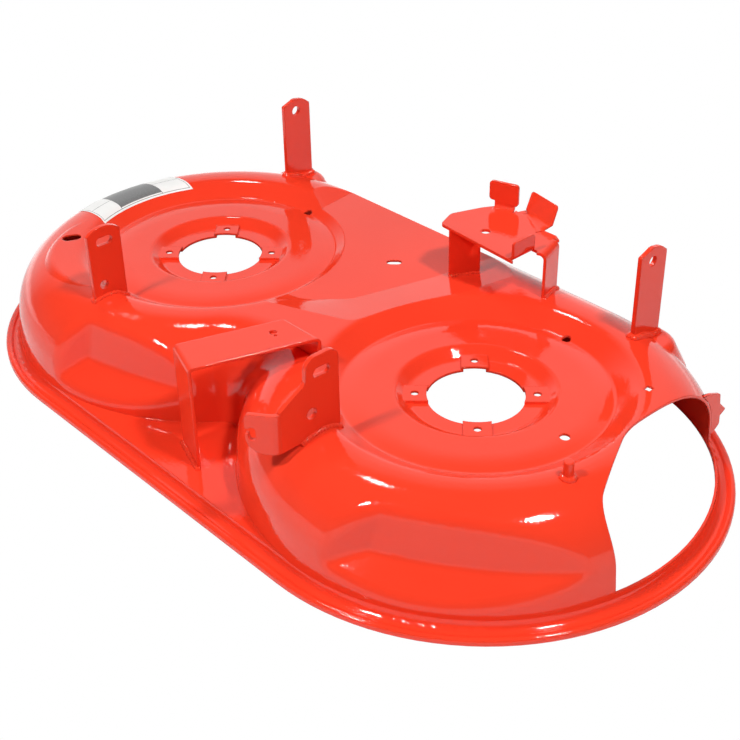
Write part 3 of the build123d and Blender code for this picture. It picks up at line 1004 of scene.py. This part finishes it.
@dataclass
class Lamp:
    """One soft box, by its direction from the deck."""

    name: str
    azimuth: float
    elevation: float
    size: float
    radiance: float
    distance: float = 3.2
    mirrored: bool = True

    def hang(self, target: Vector) -> bpy.types.Object:
        """Hang it and turn it to the deck.

        Args:
            target: the point that it faces.

        Returns:
            The light.
        """
        turn, rise = math.radians(self.azimuth), math.radians(self.elevation)
        way = Vector((math.cos(turn) * math.cos(rise), math.sin(turn) * math.cos(rise), math.sin(rise)))
        data = bpy.data.lights.new(self.name, "AREA")
        data.size = self.size
        data.energy = self.radiance * math.pi * self.size**2
        made = new_piece(self.name, data)
        made.location = target + way * self.distance
        made.rotation_euler = (-way).to_track_quat("-Z", "Y").to_euler()
        made.visible_glossy = self.mirrored
        return made


@dataclass
class Studio:
    """Pale floor, soft light and the camera of the photograph."""

    camera_at: Triple = (1.17120, -0.99866, 1.01955)
    camera_turn: Triple = (57.025, 0.959, 47.342)
    lens: float = 65.518
    sensor: float = 36.0
    clip_end: float = 100.0
    floor_size: float = 30.0
    floor_pale: float = 0.92
    floor_grain: float = 0.98
    grain_scale: float = 3.0
    floor_roughness: float = 0.9
    sweep_glow: float = 0.75
    sweep_span: Span = (0.36, 0.60)
    back_high: float = 0.86
    back_low: float = 1.00
    back_span: Span = (0.05, 0.45)
    back_reach: Span = (0.50, 0.85)
    side_grey: float = 0.20
    ceiling_grey: float = 0.05
    wall_span: Span = (0.05, 0.50)
    ambient: float = 0.40
    aim_height: float = 0.1
    lamps: tuple[Lamp, ...] = (
        Lamp("far_box", 172.0, 67.0, 0.30, 45.0),
        Lamp("left_box", -96.0, 50.0, 0.34, 145.0),
        Lamp("right_box", 3.0, 59.0, 0.34, 155.0),
        Lamp("camera_fill", -36.0, 62.0, 1.0, 3.0, mirrored=False),
    )

    def ahead(self) -> Triple:
        """Level direction in which the camera looks."""
        yaw = math.radians(self.camera_turn[2])
        return (-math.sin(yaw), math.cos(yaw), 0.0)

    def paper(self) -> bpy.types.Material:
        """Matt pale paper that the camera sees as white, with a painted glow beyond the deck that stands in
        for a brightly lit floor there.

        Returns:
            The floor's material.
        """
        made, tree = new_material("floor_paper")
        place = tree.node("ShaderNodeTexCoord", {}, {}, output="Object")
        grain = tree.noise(place, self.grain_scale)
        colour = tree.blend(grain, grey(self.floor_pale * self.floor_grain), grey(self.floor_pale))
        # Painted light: emission that makes the floor glow beyond the deck, so reflections there look
        # brightly lit.
        beyond = tree.ramp(tree.dot(place, self.ahead()), *self.sweep_span)
        glow = tree.blend(beyond, grey(0.0), grey(self.sweep_glow))
        inputs = {
            "Base Color": colour,
            "Roughness": self.floor_roughness,
            "Emission Color": glow,
            "Emission Strength": 1.0,
        }
        matt = tree.node("ShaderNodeBsdfPrincipled", {}, inputs)
        white = tree.node("ShaderNodeEmission", {}, {"Color": grey(1.0)})
        seen = tree.node("ShaderNodeLightPath", {}, {}, output="Is Camera Ray")
        surface = tree.node("ShaderNodeMixShader", {}, {0: seen, 1: matt, 2: white})
        tree.node("ShaderNodeOutputMaterial", {}, {"Surface": surface})
        return made

    def floor(self) -> bpy.types.Object:
        """Lay the floor.

        Returns:
            The floor, which is not part of the object.
        """
        half = self.floor_size / 2
        corners = [(-half, -half, 0), (half, -half, 0), (half, half, 0), (-half, half, 0)]
        mesh = bpy.data.meshes.new("studio_floor")
        mesh.from_pydata(corners, [], [(0, 1, 2, 3)])
        mesh.materials.append(self.paper())
        made = new_piece("studio_floor", mesh)
        return made

    def room(self) -> None:
        """Bright wall beyond the deck, dimmer room above and behind the camera, white backdrop."""
        world = bpy.data.worlds.new("studio_room")
        world.use_nodes = True
        bpy.context.scene.world = world
        tree = NodeTree(world.node_tree)
        ray = tree.node("ShaderNodeTexCoord", {}, {}, output="Generated")
        height = tree.node("ShaderNodeSeparateXYZ", {}, {0: ray}, output="Z")
        walls = tree.blend(tree.ramp(height, *self.wall_span), grey(self.side_grey), grey(self.ceiling_grey))
        back = tree.blend(tree.ramp(height, *self.back_span), grey(self.back_low), grey(self.back_high))
        colour = tree.blend(tree.ramp(tree.dot(ray, self.ahead()), *self.back_reach), walls, back)
        mirrored = tree.node("ShaderNodeBackground", {}, {"Color": colour})
        ambient = tree.node("ShaderNodeBackground", {}, {"Color": colour, "Strength": self.ambient})
        gloss = tree.node("ShaderNodeLightPath", {}, {}, output="Is Glossy Ray")
        light = tree.node("ShaderNodeMixShader", {}, {0: gloss, 1: ambient, 2: mirrored})
        white = tree.node("ShaderNodeBackground", {}, {"Color": grey(1.0)})
        seen = tree.node("ShaderNodeLightPath", {}, {}, output="Is Camera Ray")
        mixed = tree.node("ShaderNodeMixShader", {}, {0: seen, 1: light, 2: white})
        tree.node("ShaderNodeOutputWorld", {}, {"Surface": mixed})

    def camera(self) -> None:
        """Set up the camera of the photograph."""
        data = bpy.data.cameras.new("photo_camera")
        data.sensor_width = self.sensor
        data.lens = self.lens
        data.clip_end = self.clip_end
        made = new_piece("photo_camera", data)
        made.location = self.camera_at
        made.rotation_euler = Euler([math.radians(angle) for angle in self.camera_turn], "XYZ")
        bpy.context.scene.camera = made

    def build(self) -> None:
        """Set the whole studio up."""
        bpy.context.scene.view_settings.view_transform = "Standard"
        bpy.context.scene.view_settings.look = "None"
        self.floor()
        self.room()
        for lamp in self.lamps:
            lamp.hang(Vector((0.0, 0.0, self.aim_height)))
        self.camera()


def main() -> None:
    """Dress the deck, set up the studio and report each piece."""
    logging.basicConfig(level=logging.INFO, format="%(message)s")
    red = GlossPaint("gloss_red_paint").material()
    weld = GlossPaint("painted_weld", peel_scale=520.0, peel_height=0.0004, edge_radius=0.0004)
    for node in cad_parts:
        piece = PaintedNode(node, red).dress()
        LOG.info("dressed %s", piece.name)
    surface = DeckSurface()
    pieces = (
        KeeperBracket("belt_keeper_bracket", red),
        ArchedHanger("left_front_hanger", red),
        ArchedHanger("right_front_hanger", red),
        HingePlate("chute_hinge_plate", red),
        WeldBeads(surface, weld.material()),
        PlainSticker(surface),
    )
    for piece in [each.build() for each in pieces]:
        LOG.info("built %s with %d faces", piece.name, len(piece.data.polygons))
    Studio().build()


if __name__ == "__main__":
    main()
